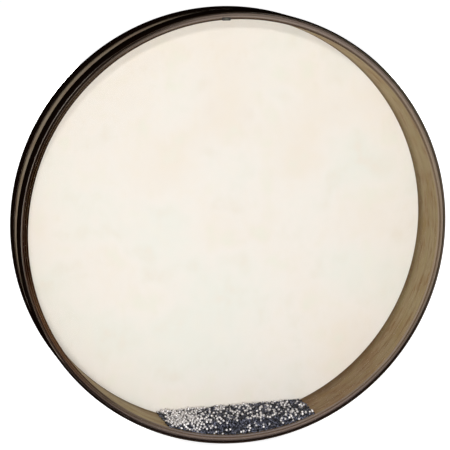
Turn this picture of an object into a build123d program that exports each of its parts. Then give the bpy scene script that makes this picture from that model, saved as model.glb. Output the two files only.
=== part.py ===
from build123d import *
import os
from math import atan, cos, degrees, pi, radians, sin, sqrt, tan

# An ocean drum standing on its rim: a bent-ply shell, two hoops, a clear head, a skin head and loose beads.
# Sizes are in millimetres. The drum's axis is Y, its clear front faces -Y, and the origin is at its centre.

# Overall sizes, over the hoops
drum_diameter = 500.0
drum_depth = 76.0

# Hoops: bent strips around the two ends of the shell
hoop_thickness = 2.4
hoop_width = 21.0
hoop_proud = 0.8
hoop_crown_width = 6.0
hoop_crown_drop = 1.5

# Shell: three bent plies, glued one inside the other, with no chamfer over this share of a ply's thickness
ply_thickness = 2.25
bearing_chamfer = 1.0
fold_chamfer = 1.0
chamfer_limit = 0.9

# Heads: a disc turned over the end of the shell into a collar, which the hoop clamps
film_thickness = 0.4
skin_thickness = 0.7
collar_length = 12.0

# Seams: a ply closes on a scarf joint, a long slanting cut, and a hoop on a square butt joint
scarf_length = 24.0
seam_gap = 0.3
hoop_seam_angle = 305.0
ply_seam_angle = 93.0
ply_seam_step = 120.0

# Tab on the clear head at the top of the rim
tab_width = 10.0
tab_height = 3.6
tab_thickness = 0.5
tab_corner_radius = 1.2
tab_overhang = 0.8
tab_offset = -13.0

# Beads: silver balls lying on a bed of fine dark shot
bed_depth = 15.5
ball_diameter = 3.0
ball_sides = 6
ball_cap_height = 0.8
ball_cap_radius = 0.6
ball_pitch = 14.0

# Clearances
glue_line = 0.1
bead_clearance = 0.4

# Radii, from the outside in
hoop_outer = drum_diameter / 2
hoop_inner = hoop_outer - hoop_thickness
collar_outer = hoop_inner - glue_line
shell_outer = collar_outer - max(film_thickness, skin_thickness) - glue_line
ply_pitch = ply_thickness + glue_line
shell_inner = shell_outer - 2 * ply_pitch - ply_thickness
bead_radius = shell_inner - bead_clearance

# Corners that are taken off the shell's ends
fold_corner = min(fold_chamfer, chamfer_limit * ply_thickness)
bearing_corner = min(bearing_chamfer, chamfer_limit * ply_thickness)

# Places along the axis, from the front hoop's face to the back hoop's face
front_face = -drum_depth / 2
back_face = drum_depth / 2
film_front = front_face + hoop_proud
film_back = film_front + film_thickness
skin_back = back_face - hoop_proud
skin_front = skin_back - skin_thickness
shell_front = film_back + glue_line
shell_back = skin_front - glue_line
bead_front = film_back + bead_clearance
bead_back = skin_front - bead_clearance


def turned_plane(angle):
    """A plane through the drum's axis, with its X pointing outward at this angle from +X and its Y along the axis."""
    outward = (cos(radians(angle)), 0, sin(radians(angle)))
    return Plane(origin=(0, 0, 0), x_dir=outward, z_dir=(-outward[2], 0, outward[0]))


def scarf_plane(radius, angle):
    """The plane of a scarf joint's cut through a ply whose middle runs at this radius."""
    slope = degrees(atan(ply_thickness / scarf_length))
    middle = (radius * cos(radians(angle)), 0, radius * sin(radians(angle)))
    normal = (cos(radians(angle + slope)), 0, sin(radians(angle + slope)))
    return Plane(origin=middle, x_dir=(0, 1, 0), z_dir=normal)


def bent_hoop(end_face, inward, seam_angle):
    """A hoop with its flat face at end_face, running inward (1 or -1) along the drum's axis."""
    crown_end = end_face + inward * hoop_crown_width
    inner_end = end_face + inward * hoop_width
    with BuildPart() as hoop:
        with BuildSketch(turned_plane(seam_angle)):
            with BuildLine():
                Polyline(
                    (hoop_outer - hoop_crown_drop, end_face),
                    (hoop_inner, end_face),
                    (hoop_inner, inner_end),
                    (hoop_outer, inner_end),
                    (hoop_outer, crown_end),
                )
                TangentArc(
                    (hoop_outer, crown_end),
                    (hoop_outer - hoop_crown_drop, end_face),
                    tangent=(0, -inward),
                )
            make_face()
        revolve(axis=Axis.Y, revolution_arc=360 - degrees(seam_gap / hoop_outer))
    return hoop.part


def bent_ply(outer_radius, seam_angle, inner_chamfer=0, outer_chamfer=0):
    """A ply as wide as the shell, with its corners taken off at the inside or the outside."""
    middle_radius = outer_radius - ply_thickness / 2
    with BuildPart() as ply:
        with BuildSketch(Plane.XY):
            with Locations((middle_radius, (shell_front + shell_back) / 2)):
                Rectangle(ply_thickness, shell_back - shell_front)
            if inner_chamfer:
                chamfer(vertices().group_by(Axis.X)[0], length=inner_chamfer)
            if outer_chamfer:
                chamfer(vertices().group_by(Axis.X)[-1], length=outer_chamfer)
        revolve(axis=Axis.Y)
        with Locations(scarf_plane(middle_radius, seam_angle)):
            Box(drum_depth, 2 * scarf_length, seam_gap, mode=Mode.SUBTRACT)
    return ply.part


def turned_head(inner_face, outward, thickness):
    """A head with its inside at inner_face, turned back over the chamfered corner of the shell."""
    collar_inner = collar_outer - thickness
    mitre = thickness * tan(pi / 8)
    collar_end = inner_face - outward * collar_length
    with BuildPart() as head:
        with BuildSketch(Plane.XY):
            with BuildLine():
                Polyline(
                    (0, inner_face),
                    (collar_inner - fold_corner, inner_face),
                    (collar_inner, inner_face - outward * fold_corner),
                    (collar_inner, collar_end),
                    (collar_outer, collar_end),
                    (collar_outer, inner_face - outward * (fold_corner - mitre)),
                    (collar_inner - fold_corner + mitre, inner_face + outward * thickness),
                    (0, inner_face + outward * thickness),
                    close=True,
                )
            make_face()
        revolve(axis=Axis.Y)
    return head.part


# Shell
outer_ply = bent_ply(shell_outer, ply_seam_angle + 2 * ply_seam_step, outer_chamfer=fold_corner)
core_ply = bent_ply(shell_outer - ply_pitch, ply_seam_angle + ply_seam_step)
inner_ply = bent_ply(shell_outer - 2 * ply_pitch, ply_seam_angle, inner_chamfer=bearing_corner)

# Hoops
front_hoop = bent_hoop(front_face, 1, hoop_seam_angle)
back_hoop = bent_hoop(back_face, -1, 180 - hoop_seam_angle)

# Heads
clear_head = turned_head(film_back, -1, film_thickness)
back_head = turned_head(skin_front, 1, skin_thickness)

# Tab: it lies on the clear head and hangs inward past the shell's inner edge
tab_front = film_front - glue_line
tab_bottom = sqrt(shell_inner**2 - tab_offset**2) - tab_overhang
with BuildPart() as tab:
    with BuildSketch(Plane.XZ.offset(-tab_front)):
        with Locations((tab_offset, tab_bottom + tab_height / 2)):
            RectangleRounded(tab_width, tab_height, tab_corner_radius)
    extrude(amount=tab_thickness)
rim_tab = tab.part

# Dark shot: a level bed in the curve of the shell
bed_top = bed_depth - bead_radius
bed_half_width = sqrt(bead_radius**2 - bed_top**2)
with BuildPart() as bed:
    with BuildSketch(Plane.XZ.offset(-bead_front)):
        with BuildLine():
            ThreePointArc((-bed_half_width, bed_top), (0, -bead_radius), (bed_half_width, bed_top))
            Line((bed_half_width, bed_top), (-bed_half_width, bed_top))
        make_face()
    extrude(amount=-(bead_back - bead_front))
dark_shot = bed.part

# Silver balls: a staggered layer of small faceted balls lying on the bed
ball_radius = ball_diameter / 2
ball_middle = bed_top + glue_line + ball_cap_height * ball_radius
layer_half_width = bed_half_width - ball_radius
ball_taper = degrees(atan((1 - ball_cap_radius) * cos(pi / ball_sides) / ball_cap_height))
ball_columns = int(2 * layer_half_width / (ball_pitch * cos(pi / 6))) + 1
ball_rows = int((bead_back - bead_front - ball_diameter) / ball_pitch + 0.5)
with BuildPart() as balls:
    with BuildSketch(Plane.XY.offset(ball_middle)):
        with Locations((0, (bead_front + bead_back) / 2)):
            with HexLocations(ball_pitch / 2, ball_columns, ball_rows):
                RegularPolygon(ball_radius, ball_sides)
    extrude(amount=ball_cap_height * ball_radius, taper=ball_taper)
    mirror(about=Plane.XY.offset(ball_middle))
silver_balls = balls.part

pieces = {
    "outer_ply": outer_ply,
    "core_ply": core_ply,
    "inner_ply": inner_ply,
    "front_hoop": front_hoop,
    "back_hoop": back_hoop,
    "clear_head": clear_head,
    "back_head": back_head,
    "rim_tab": rim_tab,
    "dark_shot": dark_shot,
    "silver_balls": silver_balls,
}
os.makedirs("parts", exist_ok=True)
for name, piece in pieces.items():
    piece.label = name
    export_step(piece, f"parts/{name}.step")
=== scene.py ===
import math

import bmesh
import bpy
import numpy as np
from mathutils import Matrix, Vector


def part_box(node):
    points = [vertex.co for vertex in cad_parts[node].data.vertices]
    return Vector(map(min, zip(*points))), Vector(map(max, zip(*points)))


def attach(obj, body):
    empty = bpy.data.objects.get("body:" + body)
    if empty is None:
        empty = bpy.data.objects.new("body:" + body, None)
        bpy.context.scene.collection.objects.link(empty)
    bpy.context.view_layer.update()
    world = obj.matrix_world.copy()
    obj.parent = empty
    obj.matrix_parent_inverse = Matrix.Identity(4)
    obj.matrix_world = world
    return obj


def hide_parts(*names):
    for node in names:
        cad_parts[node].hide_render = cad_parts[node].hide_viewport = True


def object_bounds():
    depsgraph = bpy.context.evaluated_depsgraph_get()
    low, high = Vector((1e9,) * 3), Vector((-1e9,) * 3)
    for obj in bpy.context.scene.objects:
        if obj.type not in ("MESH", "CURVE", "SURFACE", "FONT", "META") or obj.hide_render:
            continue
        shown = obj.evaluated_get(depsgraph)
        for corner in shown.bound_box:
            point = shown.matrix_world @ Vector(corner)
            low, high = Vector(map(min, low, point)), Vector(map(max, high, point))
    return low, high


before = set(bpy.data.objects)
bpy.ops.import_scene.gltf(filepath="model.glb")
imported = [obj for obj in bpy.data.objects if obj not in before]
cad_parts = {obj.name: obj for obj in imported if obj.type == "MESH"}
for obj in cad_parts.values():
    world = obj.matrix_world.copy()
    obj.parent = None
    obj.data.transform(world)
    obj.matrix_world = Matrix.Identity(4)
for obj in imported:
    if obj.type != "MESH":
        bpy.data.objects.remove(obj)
cad_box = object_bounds()

# An ocean drum standing on its rim: wooden hoops and plies, a clear film in front, a skin behind, loose beads inside.
# Lengths are in metres. The drum's axis is Y, the clear front faces -Y and the origin is at its centre.
MM = 0.001

# The photograph's view, fitted to the drum's outlines; pixels count from the image's upper left corner
view_azimuth = math.radians(-13.71)
view_elevation = math.radians(9.52)
view_distance = 2.622
focal_length_px = 2275.3
image_width_px = 450
drum_centre_px = (229.73, 225.25)

# How finely round things are drawn
ring_segments = 360
corner_steps = 4
crown_steps = 8
crease_angle = math.radians(40)

# Rounded corners, and the most of a side that one may take
hoop_corner = 0.3 * MM
ply_corner = 0.2 * MM
head_corner = 0.15 * MM
corner_share = 0.45

# Chamfers, sheets and seams, as in the part
bearing_chamfer = 1.0 * MM
fold_chamfer = 1.0 * MM
film_thickness = 0.4 * MM
skin_thickness = 0.7 * MM
scarf_length = 24 * MM
seam_gap = 0.3 * MM
hoop_seam_angle = math.radians(305)
ply_seam_angle = math.radians(93)
ply_seam_step = math.radians(120)

# Points closer than these are one point, or lie on one edge
doubled = 0.001 * MM
same_edge = 0.01 * MM

# How squarely a face looks along the axis to be an end, or inward to be an inside
end_slope = 0.6
inside_slope = 0.5

# Beads: fine dark shot with silver balls among it; the heap leans a little up the right side
shot_radius = 0.95 * MM
ball_radius = 1.5 * MM
least_size = 0.95
heap_top = -220.6 * MM
heap_lean = math.radians(1.7)
shown_depth = 4 * MM
bead_seed = 11
seed_step = 10

# Where silver balls lie: some everywhere, more at the left, patches along the top, few against the left wall, where
# dark shot stands in as painted shade
silver_base = 0.062
silver_left = 0.37
left_start = -28 * MM
left_run = 34 * MM
front_depth = 5 * MM
front_share = 0.72
wall_depth = 1.4 * MM
wall_share = 0.05
top_depth = 6.5 * MM
top_run = 2.5 * MM
top_base = 0.03
top_patches = 0.13
right_end = 84 * MM
right_run = 14 * MM
right_share = 0.4

# Bead looks: most tones are dark, and beads deeper in the heap are darker, as painted shade in the gaps between them
bead_metallic = 0.5
tone_bias = 1.6
silver_least_tone = 0.65
painted_shade_start = 0.3 * MM
painted_shade_depth = 1.6 * MM
painted_shade_share = 0.8

# Film: nearly clear, with more gloss at a slant
film_alpha = 0.01
film_slant_alpha = 0.5
film_slant_power = 4.0

# Lamps: shape, size, distance, azimuth and elevation in degrees, power
lamps = {
    "key": ("DISK", 0.25, 4.0, -12.6, 14.9, 32.0),
    "fill": ("SQUARE", 0.7, 4.5, -8.6, 2.5, 92.0),
    "bounce": ("SQUARE", 0.5, 0.62, -12, -18, 0.8),
    "side": ("SQUARE", 1.2, 2.6, -102, 10, 12.5),
    "right": ("SQUARE", 1.2, 2.6, 100, 10, 12.5),
    "back": ("SQUARE", 0.7, 4.5, 172, 8, 95.0),
}
world_strength = 0.22
floor_reach = 16.0
floor_glow = 0.84


def srgb(red, green, blue):
    """A colour given as it looks on screen, 0 to 255, in linear light."""
    shares = [value / 255 for value in (red, green, blue)]
    linear = [s / 12.92 if s <= 0.04045 else ((s + 0.055) / 1.055) ** 2.4 for s in shares]
    return (*linear, 1.0)


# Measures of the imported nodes


def node_points(name):
    """The corners of a node's mesh as radius about the drum's axis and place along it."""
    points = np.array([vertex.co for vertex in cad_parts[name].data.vertices])
    return np.hypot(points[:, 0], points[:, 2]), points[:, 1]


def ring_reach(name):
    """Inner radius, outer radius, front and back of a ring about the drum's axis."""
    radius, along = node_points(name)
    return radius.min(), radius.max(), along.min(), along.max()


# Mesh building


def rounded(points, radius):
    """The outline with each corner turned into a small arc."""
    outline = []
    count = len(points)
    for i, corner in enumerate(points):
        corner = Vector(corner)
        before = Vector(points[i - 1]) - corner
        after = Vector(points[(i + 1) % count]) - corner
        half = before.angle(after) / 2
        reach = min(radius / math.tan(half), corner_share * before.length, corner_share * after.length)
        start = corner + before.normalized() * reach
        end = corner + after.normalized() * reach
        for step in range(corner_steps + 1):
            t = step / corner_steps
            outline.append(start * (1 - t) ** 2 + corner * 2 * t * (1 - t) + end * t**2)
    return outline


def sweep(name, outline, seam=0.0, slant=0.0, gap=0.0):
    """A closed outline of (radius, y) points turned around the drum's axis.

    With a gap it is a bent strip whose two ends meet at the seam angle. The cut slants by this length across
    the strip's thickness."""
    radius = np.array([point[0] for point in outline])
    along = np.array([point[1] for point in outline])
    middle = (radius.max() + radius.min()) / 2
    lean = slant * (radius - middle) / (np.ptp(radius) * middle)
    turn = 2 * math.pi - gap / middle
    rows = ring_segments + 1 if gap else ring_segments
    angle = seam + lean + np.arange(rows)[:, None] * (turn / ring_segments)
    points = np.stack([radius * np.cos(angle), np.broadcast_to(along, angle.shape), radius * np.sin(angle)], axis=-1)
    width = len(outline)
    faces = []
    for row in range(ring_segments):
        here, there = row * width, (row + 1) % rows * width
        for i in range(width):
            j = (i + 1) % width
            faces.append((here + i, here + j, there + j, there + i))
    if gap:
        faces.append(tuple(range(width)))
        faces.append(tuple(ring_segments * width + i for i in reversed(range(width))))
    mesh = bpy.data.meshes.new(name)
    mesh.from_pydata(points.reshape(-1, 3).tolist(), [], faces)
    return clean_object(name, mesh)


def clean_object(name, mesh):
    """Joins doubled points, turns the faces outward and links the object."""
    edit = bmesh.new()
    edit.from_mesh(mesh)
    bmesh.ops.remove_doubles(edit, verts=edit.verts, dist=doubled)
    bmesh.ops.recalc_face_normals(edit, faces=edit.faces)
    edit.to_mesh(mesh)
    edit.free()
    mesh.shade_smooth()
    mesh.set_sharp_from_angle(angle=crease_angle)
    made = bpy.data.objects.new(name, mesh)
    bpy.context.scene.collection.objects.link(made)
    return made


def stand_for(piece, node, body, slot, *materials):
    """The piece shows in place of the node, rides on this body and takes these materials."""
    for material in materials:
        piece.data.materials.append(material)
    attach(piece, body)
    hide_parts(node)


def paint_ends(piece):
    """Gives the faces that look along the drum's axis the second material."""
    for face in piece.data.polygons:
        if abs(face.normal.y) > end_slope:
            face.material_index = 1


def paint_end_and_inside(hoop, outward):
    """Gives a hoop's end face and its inside the second material, where light and a highlight are painted."""
    for face in hoop.data.polygons:
        away = face.normal.x * face.center.x + face.normal.z * face.center.z
        inside = away < -inside_slope * math.hypot(face.center.x, face.center.z)
        if inside or face.normal.y * outward > end_slope:
            face.material_index = 1


# Shader building


class Shading:
    """A material and short ways to add nodes to it."""

    def __init__(self, name):
        self.material = bpy.data.materials.new(name)
        self.material.use_nodes = True
        self.tree = self.material.node_tree
        self.surface = self.tree.nodes["Principled BSDF"]

    def add(self, kind, inputs=(), **settings):
        made = self.tree.nodes.new("ShaderNode" + kind)
        for key, value in settings.items():
            setattr(made, key, value)
        for key, value in dict(inputs).items():
            self.put(made, key, value)
        return made

    def put(self, made, key, value):
        """Links a socket to an input or sets the input's own value."""
        if isinstance(value, bpy.types.NodeSocket):
            self.tree.links.new(value, made.inputs[key])
        else:
            made.inputs[key].default_value = value

    def set(self, **values):
        for key, value in values.items():
            self.put(self.surface, key.replace("_", " "), value)

    def place(self):
        return self.add("TexCoord").outputs["Object"]

    def axes(self):
        return self.add("SeparateXYZ", {"Vector": self.place()}).outputs

    def math(self, operation, first, second=0.0, third=0.0, clamp=False):
        made = self.add("Math", operation=operation, use_clamp=clamp)
        for index, value in enumerate((first, second, third)):
            self.put(made, index, value)
        return made.outputs[0]

    def radius(self):
        """Distance from the drum's axis."""
        x, _, z = self.axes()
        squares = self.math("MULTIPLY_ADD", x, x, self.math("MULTIPLY", z, z))
        return self.math("SQRT", squares)

    def side(self, degrees):
        """1 on the side of the drum at this angle, 0 square to it, -1 on the far side."""
        x, _, z = self.axes()
        across = math.cos(math.radians(degrees))
        above = math.sin(math.radians(degrees))
        summed = self.math("MULTIPLY_ADD", x, across, self.math("MULTIPLY", z, above))
        return self.math("DIVIDE", summed, self.radius())

    def grain(self, along, across):
        """A place stretched so that noise becomes streaks around the drum."""
        x, y, z = self.axes()
        thick = self.math("ADD", self.radius(), y)
        stretched = ((x, along), (thick, across), (z, along))
        inputs = {axis: self.math("MULTIPLY", *pair) for axis, pair in zip("XYZ", stretched)}
        return self.add("CombineXYZ", inputs).outputs[0]

    def noise(self, place, scale=1.0, detail=3.0, roughness=0.55):
        inputs = {"Vector": place, "Scale": scale, "Detail": detail, "Roughness": roughness}
        return self.add("TexNoise", inputs).outputs[0]

    def span(self, value, low, high, to_low=0.0, to_high=1.0):
        """Value from low to high, smoothed and kept between to_low and to_high."""
        inputs = {0: value, 1: low, 2: high, 3: to_low, 4: to_high}
        return self.add("MapRange", inputs, interpolation_type="SMOOTHSTEP").outputs[0]

    def ramp(self, value, stops):
        made = self.add("ValToRGB", {"Fac": value})
        elements = made.color_ramp.elements
        while len(elements) < len(stops):
            elements.new(1.0)
        for element, (place, colour) in zip(elements, stops):
            element.position = place
            element.color = colour
        return made.outputs["Color"]

    def mix(self, share, first, second, blend="MIX"):
        made = self.add("Mix", data_type="RGBA", blend_type=blend)
        for key, value in ((0, share), (6, first), (7, second)):
            self.put(made, key, value)
        return made.outputs[2]

    def bump(self, height, distance, strength=1.0):
        made = self.add("Bump", {"Height": height, "Distance": distance, "Strength": strength})
        self.set(Normal=made.outputs[0])


# Materials


def hoop_material():
    """Wood with black staining, matt, with faint streaks."""
    s = Shading("black_stained_hoop")
    streaks = s.noise(s.grain(14, 900), 1.0, 5.0, 0.6)
    clouds = s.noise(s.place(), 22.0, 3.0)
    stain_and_painted_light = s.ramp(streaks, [(0.3, srgb(9, 4, 2)), (0.62, srgb(17, 8, 4)), (0.85, srgb(34, 22, 15))])
    stain_and_painted_light = s.mix(s.math("MULTIPLY", clouds, 0.4), stain_and_painted_light, srgb(22, 12, 8))
    s.set(Base_Color=stain_and_painted_light, Roughness=s.span(streaks, 0.2, 0.9, 0.6, 0.85), Specular_IOR_Level=0.0)
    s.bump(streaks, 0.08 * MM, 0.6)
    return s.material


def hoop_end_material():
    """A hoop's end face, dark brown, with painted light on the right and lower right and a painted highlight along
    its inner edge on the left, and its paler inside, with painted light in the groove.
    """
    s = Shading("hoop_end")
    inner, _, _, _ = ring_reach("front_hoop")
    streaks = s.noise(s.grain(25, 1400), 1.0, 5.0, 0.6)
    # Painted light: the end face goes from near black on the left to lit brown on the right and lower right.
    stain_and_painted_light = s.mix(s.span(s.side(-12), 0.5, 0.95), srgb(12, 6, 3), srgb(62, 51, 42))
    stain_and_painted_light = s.mix(s.span(s.side(295), 0.4, 0.95), stain_and_painted_light, srgb(68, 56, 48))
    stain_and_painted_light = s.mix(s.span(streaks, 0.45, 0.8, 0.0, 0.4), stain_and_painted_light, srgb(24, 16, 12))
    patchy = s.span(s.noise(s.grain(30, 500), 1.0, 4.0), 0.25, 0.55, 0.55, 1.0)
    # Painted highlight: a patchy pale line along the inner edge of the end face, on the left side.
    painted_highlight = s.math("MULTIPLY", s.span(s.side(160), 0.8, 0.97), patchy)
    painted_highlight = s.math("MULTIPLY", painted_highlight, s.span(s.radius(), inner + 0.22 * MM, inner + 0.42 * MM, 1.0, 0.03))
    stain_and_painted_light = s.mix(painted_highlight, stain_and_painted_light, srgb(206, 196, 188))
    # Painted light: the hoop's inside is lightened in the shaded groove, most on the upper right and on the left.
    inside_painted_light = s.mix(s.span(s.side(40), 0.2, 0.85), srgb(52, 39, 30), srgb(132, 117, 100))
    inside_painted_light = s.mix(s.span(s.side(186), 0.75, 0.97), inside_painted_light, srgb(170, 150, 134))
    colour = s.mix(s.span(s.radius(), inner + 0.05 * MM, inner + 0.25 * MM), inside_painted_light, stain_and_painted_light)
    s.set(Base_Color=colour, Roughness=s.span(streaks, 0.2, 0.9, 0.5, 0.75), Specular_IOR_Level=0.0)
    s.bump(streaks, 0.05 * MM, 0.5)
    return s.material


def ply_face_material(name, front_colour, back_colour, streak_colour, warm_colour, painted_top_shade):
    """The broad side of a ply: tan staining with fine streaks around the drum, with painted shade towards the back
    head, on the lower right and, by the given share, at the top.
    """
    s = Shading(name)
    fine = s.noise(s.grain(22, 1500), 1.0, 6.0, 0.65)
    broad = s.noise(s.grain(9, 160), 1.0, 4.0)
    flecks = s.noise(s.grain(160, 420), 1.0, 3.0, 0.6)
    clouds = s.noise(s.place(), 34.0, 4.0, 0.6)
    # Painted shade: darker towards the back head, in the corner with the skin.
    depth = s.span(s.axes()[1], 6 * MM, 36 * MM)
    colour = s.mix(depth, front_colour, back_colour)
    colour = s.mix(s.span(clouds, 0.42, 0.7, 0.0, 0.6), colour, warm_colour, "MULTIPLY")
    colour = s.mix(s.span(broad, 0.45, 0.8, 0.0, 0.5), colour, streak_colour)
    colour = s.mix(s.span(fine, 0.5, 0.85, 0.0, 0.55), colour, streak_colour)
    colour = s.mix(s.span(flecks, 0.52, 0.78, 0.0, 0.35), colour, streak_colour)
    mottle = s.noise(s.grain(38, 120), 1.0, 4.0, 0.6)
    colour = s.mix(s.span(mottle, 0.36, 0.54, 0.8, 0.0), colour, srgb(248, 249, 232), "MULTIPLY")
    colour = s.mix(s.span(mottle, 0.48, 0.66, 0.0, 0.9), colour, srgb(228, 213, 203), "MULTIPLY")
    # Painted shade: a little darker, and pinker, on the lower right and the bottom.
    colour = s.mix(s.span(s.side(335), 0.3, 0.8), colour, srgb(243, 242, 241), "MULTIPLY")
    colour = s.mix(s.span(s.side(288), 0.7, 1.0), colour, srgb(230, 219, 219), "MULTIPLY")
    # Painted shade: the top of the ply darkened towards near black, by the given share.
    colour = s.mix(s.span(s.side(89), 0.93, 1.0, 0.0, painted_top_shade), colour, srgb(30, 22, 15))
    s.set(Base_Color=colour, Roughness=s.span(fine, 0.2, 0.9, 0.55, 0.75), Specular_IOR_Level=0.06)
    s.bump(fine, 0.06 * MM, 0.5)
    return s.material


def ply_end_material():
    """The cut ends of the plies: pale wood and dark glue lines, with painted light, shade and reflection that change
    around the rim.
    """
    s = Shading("ply_ends")
    inner, _, _, _ = ring_reach("inner_ply")
    _, outer, _, _ = ring_reach("outer_ply")
    share = s.math("DIVIDE", s.math("SUBTRACT", s.radius(), inner), outer - inner)
    wander = s.noise(s.place(), 9.0, 2.0)
    share = s.math("ADD", share, s.span(wander, 0.2, 0.8, -0.05, 0.05))
    depth = share
    share = s.math("ADD", share, s.span(s.side(70), 0.25, 0.8, 0.0, 0.26))
    share = s.math("ADD", share, s.span(s.side(272), 0.6, 0.95, 0.0, 0.13))
    pale = s.ramp(
        share,
        [
            (0.0, srgb(150, 131, 108)),
            (0.2, srgb(152, 134, 113)),
            (0.36, srgb(112, 93, 74)),
            (0.46, srgb(98, 79, 60)),
            (0.56, srgb(132, 114, 96)),
            (0.7, srgb(158, 141, 123)),
            (0.86, srgb(148, 131, 113)),
            (1.0, srgb(128, 112, 96)),
        ],
    )
    dark = s.ramp(
        share,
        [
            (0.0, srgb(34, 16, 2)),
            (0.4, srgb(24, 8, 0)),
            (0.6, srgb(31, 12, 1)),
            (0.85, srgb(24, 9, 1)),
        ],
    )
    # Painted shade: the ply ends turn dark brown on the left, less so at the lower left.
    painted_left_shade = s.math("POWER", s.math("MULTIPLY", s.side(176), 1.03, clamp=True), 1.3)
    painted_left_shade = s.math("MULTIPLY", painted_left_shade, s.span(s.side(209), 0.93, 1.0, 1.0, 0.65))
    streaks = s.noise(s.grain(25, 1800), 1.0, 5.0, 0.6)
    # Painted reflection: a cool grey tint over the ply ends at the top, standing in for the film's gloss.
    pale = s.mix(s.span(s.side(95), 0.2, 0.9, 0.0, 0.8), pale, srgb(228, 230, 246), "MULTIPLY")
    pale = s.mix(s.span(streaks, 0.5, 0.85, 0.0, 0.25), pale, srgb(58, 38, 22))
    colour = s.mix(painted_left_shade, pale, dark)

    def stain_and_painted_light(depth_span, angle, side_span, tint):
        """The colour with a tint over part of the thickness, on the side of the drum at this angle: painted light and
        shade on the rim's edge.
        """
        there = s.math("MULTIPLY", s.span(depth, *depth_span), s.span(s.side(angle), *side_span))
        return s.mix(there, colour, tint)

    # Painted light and shade by side. Upper left: painted shade on the outer edge; left: red tint, painted shade and
    # then a painted highlight on the outer edge, painted shade on the inner lip
    colour = stain_and_painted_light((0.5, 0.9, 0.0, 0.95), 140, (0.75, 0.95), srgb(28, 17, 11))
    colour = s.mix(s.span(s.side(198), 0.85, 0.98, 0.0, 0.9), colour, srgb(250, 206, 172), "MULTIPLY")
    colour = stain_and_painted_light((0.62, 0.76, 0.0, 0.95), 217, (0.88, 0.97), srgb(26, 11, 5))
    colour = stain_and_painted_light((0.86, 0.97, 0.0, 0.75), 192, (0.87, 0.97), srgb(122, 100, 86))
    colour = stain_and_painted_light((0.1, 0.34, 0.9, 0.0), 208, (0.85, 0.97), srgb(50, 30, 18))
    # Top: painted shade on the inner lip; bottom: painted shade on the outer edge, a cool tint as painted reflection,
    # painted light on the inner lip
    colour = stain_and_painted_light((0.12, 0.38, 0.75, 0.0), 112, (0.35, 0.85), srgb(56, 42, 33))
    colour = stain_and_painted_light((0.4, 0.95, 0.0, 0.9), 280, (0.2, 0.75), srgb(56, 43, 37))
    colour = s.mix(s.span(s.side(275), 0.2, 0.9, 0.0, 0.8), colour, srgb(228, 230, 250), "MULTIPLY")
    colour = stain_and_painted_light((0.06, 0.3, 0.7, 0.0), 271, (0.9, 0.98), srgb(128, 117, 115))
    for joint in (1 / 3, 2 / 3):
        away = s.math("ABSOLUTE", s.math("SUBTRACT", depth, joint))
        colour = s.mix(s.span(away, 0.015, 0.05, 0.45, 0.0), colour, srgb(34, 20, 12))
    s.set(Base_Color=colour, Roughness=s.span(streaks, 0.2, 0.9, 0.55, 0.8), Specular_IOR_Level=0.0)
    s.bump(streaks, 0.05 * MM, 0.5)
    return s.material


def skin_material():
    """A cream skin: soft clouds, blotches and fine fibres."""
    s = Shading("cream_skin")
    clouds = s.noise(s.place(), 13.0, 5.0, 0.6)
    blotches = s.noise(s.place(), 26.0, 4.0, 0.6)
    fibres = s.noise(s.add("Mapping", {"Vector": s.place(), "Scale": (260, 260, 90)}).outputs[0], 1.0, 5.0, 0.7)
    colour = s.ramp(clouds, [(0.36, srgb(243, 234, 221)), (0.5, srgb(244, 238, 229)), (0.64, srgb(239, 238, 228))])
    colour = s.mix(s.span(blotches, 0.5, 0.75, 0.0, 0.6), colour, srgb(240, 229, 215))
    colour = s.mix(s.span(blotches, 0.28, 0.48, 0.55, 0.0), colour, srgb(238, 239, 225))
    colour = s.mix(s.span(fibres, 0.5, 0.8, 0.0, 0.25), colour, srgb(232, 221, 202))
    s.set(
        Base_Color=colour,
        Roughness=s.span(fibres, 0.2, 0.8, 0.62, 0.8),
        Specular_IOR_Level=0.2,
        Sheen_Weight=0.05,
    )
    s.bump(s.math("MULTIPLY_ADD", fibres, 0.5, blotches), 0.1 * MM, 0.4)
    return s.material


def film_material():
    """A clear film that shows by its gloss, more where it is seen at a slant."""
    s = Shading("clear_film")
    s.material.surface_render_method = "BLENDED"
    ripple = s.noise(s.place(), 5.0, 2.0)
    slant = s.math("POWER", s.add("LayerWeight", {"Blend": 0.5}).outputs["Facing"], film_slant_power)
    s.set(
        Base_Color=srgb(40, 40, 39),
        Roughness=s.span(ripple, 0.2, 0.8, 0.06, 0.12),
        Specular_IOR_Level=0.5,
        Alpha=s.math("MULTIPLY_ADD", slant, film_slant_alpha, film_alpha),
    )
    s.bump(ripple, 0.5 * MM, 0.3)
    return s.material


def tab_material():
    """A dark tab with a paler middle and a grainy surface."""
    s = Shading("dark_tab")
    low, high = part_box("rim_tab")
    centre = (low + high) / 2
    offset = s.add("VectorMath", {0: s.place(), 1: centre}, operation="SUBTRACT").outputs[0]
    scale = (2 / (high.x - low.x), 0, 2 / (high.z - low.z))
    spread = s.add("VectorMath", {0: offset, 1: scale}, operation="MULTIPLY").outputs[0]
    away = s.add("VectorMath", {0: spread}, operation="LENGTH").outputs["Value"]
    specks = s.noise(s.place(), 900.0, 4.0)
    colour = s.ramp(away, [(0.15, srgb(88, 90, 80)), (0.5, srgb(50, 47, 38)), (0.85, srgb(20, 16, 11))])
    colour = s.mix(s.span(specks, 0.45, 0.8, 0.0, 0.4), colour, srgb(40, 38, 32))
    s.set(Base_Color=colour, Roughness=s.span(specks, 0.2, 0.8, 0.45, 0.7), Specular_IOR_Level=0.3)
    s.bump(specks, 0.1 * MM, 0.5)
    return s.material


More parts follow.
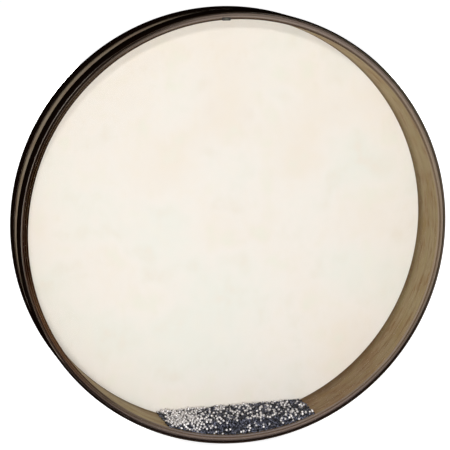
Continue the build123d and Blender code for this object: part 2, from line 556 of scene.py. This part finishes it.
def bead_material(name, dark_colour, pale_colour, least_roughness, most_roughness):
    """Metal beads, each with its own tone, with fine scuffs."""
    s = Shading(name)
    tone = s.add("Attribute", attribute_name="tone").outputs["Fac"]
    scuffs = s.noise(s.place(), 2400.0, 3.0)
    colour = s.mix(tone, dark_colour, pale_colour)
    colour = s.mix(s.span(scuffs, 0.5, 0.8, 0.0, 0.4), colour, dark_colour)
    s.set(
        Base_Color=colour,
        Metallic=bead_metallic,
        Roughness=s.span(scuffs, 0.3, 0.7, least_roughness, most_roughness),
    )
    return s.material


# Pieces


def hoop_outline(name, inward):
    """A hoop's outline, with the crown that the node has beside its end face."""
    radius, along = node_points(name)
    inner, outer, front, back = ring_reach(name)
    face, far = (front, back) if inward > 0 else (back, front)
    face_radius = radius[np.abs(along - face) < same_edge].max()
    crowned = along[radius > outer - same_edge]
    crown_end = crowned[np.argmin(np.abs(crowned - face))]
    drop = outer - face_radius
    depth = abs(crown_end - face)
    bend = (depth**2 + drop**2) / (2 * drop)
    sweep_angle = math.asin(depth / bend)
    crown = []
    for step in range(crown_steps + 1):
        angle = sweep_angle * step / crown_steps
        crown.append((outer - bend * (1 - math.cos(angle)), crown_end - inward * bend * math.sin(angle)))
    return rounded([(outer, far)] + crown + [(inner, face), (inner, far)], hoop_corner)


def make_hoops():
    black = hoop_material()
    ends = hoop_end_material()
    hoops = (("front_hoop", 1, hoop_seam_angle), ("back_hoop", -1, math.pi - hoop_seam_angle))
    for name, inward, seam in hoops:
        hoop = sweep(name + "_wood", hoop_outline(name, inward), seam, gap=seam_gap)
        stand_for(hoop, name, "drum", "hoop_wood", black, ends)
        paint_end_and_inside(hoop, -inward)


def make_plies():
    ends = ply_end_material()
    inside = ply_face_material(
        "inner_ply_face", srgb(180, 162, 127), srgb(122, 103, 72), srgb(128, 109, 77), srgb(232, 212, 190), 0.0
    )
    outside = ply_face_material(
        "outer_ply_face", srgb(162, 146, 126), srgb(160, 143, 124), srgb(112, 96, 78), srgb(214, 198, 176), 0.9
    )
    plies = (
        ("inner_ply", "shell_wood", inside, bearing_chamfer, 0.0),
        ("core_ply", "core_wood", outside, 0.0, 0.0),
        ("outer_ply", "shell_wood", outside, 0.0, fold_chamfer),
    )
    for step, (name, slot, face, inner_cut, outer_cut) in enumerate(plies):
        inner, outer, front, back = ring_reach(name)
        outline = []
        for radius, cut, inward in ((inner, inner_cut, 1), (outer, outer_cut, -1)):
            stations = [(radius, front), (radius, back)]
            if cut:
                end = radius + inward * cut
                stations = [(end, front), (radius, front + cut), (radius, back - cut), (end, back)]
            outline += stations if inward > 0 else stations[::-1]
        seam = ply_seam_angle + step * ply_seam_step
        ply = sweep(name + "_wood", rounded(outline, ply_corner), seam, scarf_length, seam_gap)
        stand_for(ply, name, "drum", slot, face, ends)
        paint_ends(ply)


def head_outline(name, outward, thickness):
    """A head's outline: the flat, the slope over the shell's corner and the collar."""
    _, outer, front, back = ring_reach(name)
    face, collar_end = (front, back) if outward < 0 else (back, front)
    inside = face - outward * thickness
    collar_inner = outer - thickness
    mitre = thickness * math.tan(math.pi / 8)
    turned = [
        (collar_inner - fold_chamfer, inside),
        (collar_inner, inside - outward * fold_chamfer),
        (collar_inner, collar_end),
        (outer, collar_end),
        (outer, inside - outward * (fold_chamfer - mitre)),
        (collar_inner - fold_chamfer + mitre, face),
    ]
    bent = rounded([(0.0, inside)] + turned + [(0.0, face)], head_corner)
    return [(0.0, inside)] + bent[corner_steps + 1:-corner_steps - 1] + [(0.0, face)]


def make_heads():
    film = sweep("clear_head_film", head_outline("clear_head", -1, film_thickness))
    stand_for(film, "clear_head", "drum", "clear_film", film_material())
    skin = sweep("back_head_skin", head_outline("back_head", 1, skin_thickness))
    stand_for(skin, "back_head", "drum", "skin", skin_material())


class Heap:
    """Beads dropped one by one into the lowest place near where they fall."""

    # Beads are looked up in cells wider than a ball, which keep the last few that fell there
    cell = 3.2 * MM
    kept = 10
    nowhere = -9.0

    # Each bead tries some places, then rolls to the lowest one near by, each time less far
    tries = 14
    rolls = 2
    first_roll = 0.9
    roll_loss = 0.35
    edge_room = 1.2

    def __init__(self):
        low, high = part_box("dark_shot")
        self.wall = -low.z
        self.front, self.back = low.y, high.y
        self.reach = math.sqrt(self.wall**2 - heap_top**2)
        self.random = np.random.default_rng(bead_seed)
        columns = int(2 * self.reach / self.cell) + 3
        rows = int((self.back - self.front) / self.cell) + 3
        self.near = np.full((columns, rows, self.kept, 4), self.nowhere)
        self.filled = np.zeros((columns, rows), int)
        self.beads = []

    def cells(self, x, y):
        column = ((x + self.reach) / self.cell).astype(int) + 1
        row = ((y - self.front) / self.cell).astype(int) + 1
        return column, row

    def room(self, radius):
        """How far from the middle a bead may lie, and its places nearest the front and the back."""
        return self.reach - self.edge_room * radius, self.front + radius, self.back - radius

    def rest(self, x, y, radius):
        """The height at which a bead dropped at each place comes to rest."""
        height = -np.sqrt(np.maximum((self.wall - radius) ** 2 - x**2, 0.0))
        i, j = self.cells(x, y)
        for di in (-1, 0, 1):
            for dj in (-1, 0, 1):
                others = self.near[i + di, j + dj]
                square = (others[..., 0] - x[:, None]) ** 2 + (others[..., 1] - y[:, None]) ** 2
                rise = (others[..., 3] + radius) ** 2 - square
                over = np.where(rise > 0, others[..., 2] + np.sqrt(np.maximum(rise, 0.0)), self.nowhere)
                height = np.maximum(height, over.max(axis=1))
        return height

    def drop(self, radius):
        """The lowest place that the bead finds, after rolling a little."""
        across, front, back = self.room(radius)
        x = self.random.uniform(-across, across, self.tries)
        y = self.random.uniform(front, back, self.tries)
        for roll in range(self.rolls + 1):
            height = self.rest(x, y, radius)
            best = np.argmin(height)
            found = x[best], y[best], height[best]
            span = radius * (self.first_roll - self.roll_loss * roll)
            x = np.clip(found[0] + self.random.uniform(-span, span, self.tries), -across, across)
            y = np.clip(found[1] + self.random.uniform(-span, span, self.tries), front, back)
            x[0], y[0] = found[0], found[1]
        return found

    def add(self, x, y, z, radius, silver):
        i, j = self.cells(np.array([x]), np.array([y]))
        i, j = int(i[0]), int(j[0])
        self.near[i, j, self.filled[i, j] % self.kept] = (x, y, z, radius)
        self.filled[i, j] += 1
        self.beads.append((x, y, z, radius, silver))

    def silver_share(self, x, y, z):
        """How likely a bead at this place is silver."""
        # Against the left wall the beads are nearly all dark shot: painted shade where the heap meets the shell.
        if x < 0 and self.wall - math.hypot(x, z) < wall_depth:
            return wall_share
        left = np.clip((left_start - x) / left_run, 0, 1)
        if y < self.front + front_depth:
            left *= front_share
        top = np.clip((z - heap_top + top_depth) / top_run, 0, 1)
        wave = math.sin(x / (6.1 * MM) + 1.7 * math.sin(y / (7.3 * MM)))
        patches = 0.5 + 0.5 * wave * math.cos(y / (5.2 * MM) + x / (13 * MM))
        right = np.clip((right_end - x) / right_run, right_share, 1)
        return max(silver_base + silver_left * left, top * (top_base + top_patches * patches) * right)

    def leaned(self):
        """The beads with the whole heap rolled a little up the shell."""
        beads = np.array(self.beads)
        x, z = beads[:, 0].copy(), beads[:, 2].copy()
        beads[:, 0] = x * math.cos(heap_lean) - z * math.sin(heap_lean)
        beads[:, 2] = x * math.sin(heap_lean) + z * math.cos(heap_lean)
        return beads

    def fill(self):
        """Rows of x, y, z, radius and 1 for silver, for a heap that reaches its top."""
        while True:
            x, y, z = self.drop(shot_radius)
            if z + shot_radius > heap_top:
                return self.leaned()
            silver = self.random.random() < self.silver_share(x, y, z)
            radius = ball_radius if silver else shot_radius
            radius *= self.random.uniform(least_size, 1.0)
            if silver:
                across, front, back = self.room(radius)
                x = np.clip(x, -across, across)
                y = np.clip(y, front, back)
                z = self.rest(np.array([x]), np.array([y]), radius)[0]
            self.add(x, y, z, radius, silver)


def bead_mesh(name, beads, depth, divisions, seed, least_tone):
    """One mesh of many small balls, each turned its own way and with its own tone, darker with depth as painted
    shade.
    """
    unit = bmesh.new()
    bmesh.ops.create_icosphere(unit, subdivisions=divisions, radius=1.0)
    corners = np.array([vertex.co for vertex in unit.verts])
    faces = np.array([[vertex.index for vertex in face.verts] for face in unit.faces])
    unit.free()
    random = np.random.default_rng(seed)
    count = len(beads)
    turns = np.linalg.qr(random.normal(size=(count, 3, 3)))[0]
    points = np.einsum("nij,vj->nvi", turns, corners) * beads[:, 3, None, None] + beads[:, None, :3]
    order = faces[None] + (np.arange(count) * len(corners))[:, None, None]
    mesh = bpy.data.meshes.new(name)
    mesh.from_pydata(points.reshape(-1, 3).tolist(), [], order.reshape(-1, 3).tolist())
    tones = least_tone + (1 - least_tone) * random.random(count) ** tone_bias
    # Deeper beads get darker tones: painted shade between the beads.
    tones *= 1 - painted_shade_share * np.clip((depth - painted_shade_start) / painted_shade_depth, 0, 1)
    attribute = mesh.attributes.new("tone", "FLOAT", "POINT")
    attribute.data.foreach_set("value", np.repeat(tones, len(corners)).astype(np.float32))
    return clean_object(name, mesh)


def make_beads():
    heap = Heap()
    beads = heap.fill()
    beads = beads[np.argsort(beads[:, 0])]
    silver = beads[:, 4] > 0.5
    level = beads[:, 2] * math.cos(heap_lean) - beads[:, 0] * math.sin(heap_lean)
    shown = (level > heap_top - shown_depth) | (beads[:, 1] < heap.front + shown_depth)
    depth = np.minimum(heap_top - level, beads[:, 1] - heap.front) - beads[:, 3]
    shot = bead_material("dark_shot_steel", srgb(11, 12, 16), srgb(134, 136, 155), 0.24, 0.36)
    bright = bead_material("silver_ball_steel", srgb(120, 115, 114), srgb(252, 248, 248), 0.2, 0.34)
    # Which beads, how finely each is drawn, how many pieces they are split into, and their least tone
    groups = (
        ("dark_shot_beads", "dark_shot", "dark_steel", shot, ~silver & shown, 2, 3, 0.0),
        ("dark_shot_buried", "dark_shot", "dark_steel", shot, ~silver & ~shown, 1, 2, 0.0),
        ("silver_ball_beads", "silver_balls", "bright_steel", bright, silver, 2, 1, silver_least_tone),
    )
    for group, (name, node, slot, material, chosen, divisions, pieces, least_tone) in enumerate(groups):
        for index, members in enumerate(np.array_split(np.flatnonzero(chosen), pieces)):
            seed = bead_seed + seed_step * group + index
            mesh_name = f"{name}_{index + 1}"
            piece = bead_mesh(mesh_name, beads[members], depth[members], divisions, seed, least_tone)
            stand_for(piece, node, "bead_charge", slot, material)


def finish_tab():
    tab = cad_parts["rim_tab"]
    tab.data.materials.clear()
    tab.data.materials.append(tab_material())


# Stage


def direction(azimuth, elevation):
    """Towards a viewer or a lamp at this azimuth and elevation; azimuth 0 is in front of the drum."""
    level = math.cos(elevation)
    return Vector((math.sin(azimuth) * level, -math.cos(azimuth) * level, math.sin(elevation)))


def add_camera():
    data = bpy.data.cameras.new("camera")
    data.lens = focal_length_px / image_width_px * data.sensor_width
    camera = bpy.data.objects.new("camera", data)
    bpy.context.scene.collection.objects.link(camera)
    towards = direction(view_azimuth, view_elevation)
    right = Vector((math.cos(view_azimuth), math.sin(view_azimuth), 0))
    up = towards.cross(right)
    pixel = view_distance / focal_length_px
    aim = right * (image_width_px / 2 - drum_centre_px[0]) + up * (drum_centre_px[1] - image_width_px / 2)
    camera.location = towards * view_distance
    camera.rotation_euler = (aim * pixel - camera.location).to_track_quat("-Z", "Y").to_euler()
    bpy.context.scene.camera = camera


def add_lamp(name, shape, size, distance, azimuth, elevation, power):
    data = bpy.data.lights.new(name, "AREA")
    data.shape = shape
    data.size = size
    data.energy = power
    lamp = bpy.data.objects.new(name, data)
    bpy.context.scene.collection.objects.link(lamp)
    towards = direction(math.radians(azimuth), math.radians(elevation))
    lamp.location = towards * distance
    lamp.rotation_euler = (-towards).to_track_quat("-Z", "Y").to_euler()
    lamp.visible_camera = False


def seen_directly(tree):
    """1 for rays from the camera and through gloss or glass, 0 for rays that carry light to the object."""
    path = tree.nodes.new("ShaderNodeLightPath")
    seen = path.outputs["Is Camera Ray"]
    for ray in ("Is Glossy Ray", "Is Transmission Ray"):
        either = tree.nodes.new("ShaderNodeMath")
        either.operation = "MAXIMUM"
        tree.links.new(seen, either.inputs[0])
        tree.links.new(path.outputs[ray], either.inputs[1])
        seen = either.outputs[0]
    return seen


def add_world():
    world = bpy.data.worlds.new("studio")
    bpy.context.scene.world = world
    world.use_nodes = True
    tree = world.node_tree
    background = tree.nodes["Background"]
    background.inputs["Color"].default_value = (1, 1, 1, 1)
    strength = tree.nodes.new("ShaderNodeMapRange")
    strength.inputs["To Min"].default_value = world_strength
    strength.inputs["To Max"].default_value = 1.0
    tree.links.new(seen_directly(tree), strength.inputs["Value"])
    tree.links.new(strength.outputs[0], background.inputs["Strength"])


def add_floor():
    mesh = bpy.data.meshes.new("floor")
    height = cad_box[0].z
    corners = [(-1, -1), (1, -1), (1, 1), (-1, 1)]
    points = [(x * floor_reach, y * floor_reach, height) for x, y in corners]
    mesh.from_pydata(points, [], [(0, 1, 2, 3)])
    floor = bpy.data.objects.new("floor", mesh)
    bpy.context.scene.collection.objects.link(floor)
    s = Shading("pale_floor")
    glow = s.add("MapRange", {0: seen_directly(s.tree), 3: 0.0, 4: floor_glow}).outputs[0]
    s.set(Base_Color=srgb(235, 235, 235), Roughness=1.0, Specular_IOR_Level=0.0)
    s.set(Emission_Color=(1, 1, 1, 1), Emission_Strength=glow)
    mesh.materials.append(s.material)


make_hoops()
make_plies()
make_heads()
make_beads()
finish_tab()
add_camera()
for name, settings in lamps.items():
    add_lamp(name, *settings)
add_world()
add_floor()
bpy.context.scene.view_settings.view_transform = "Standard"
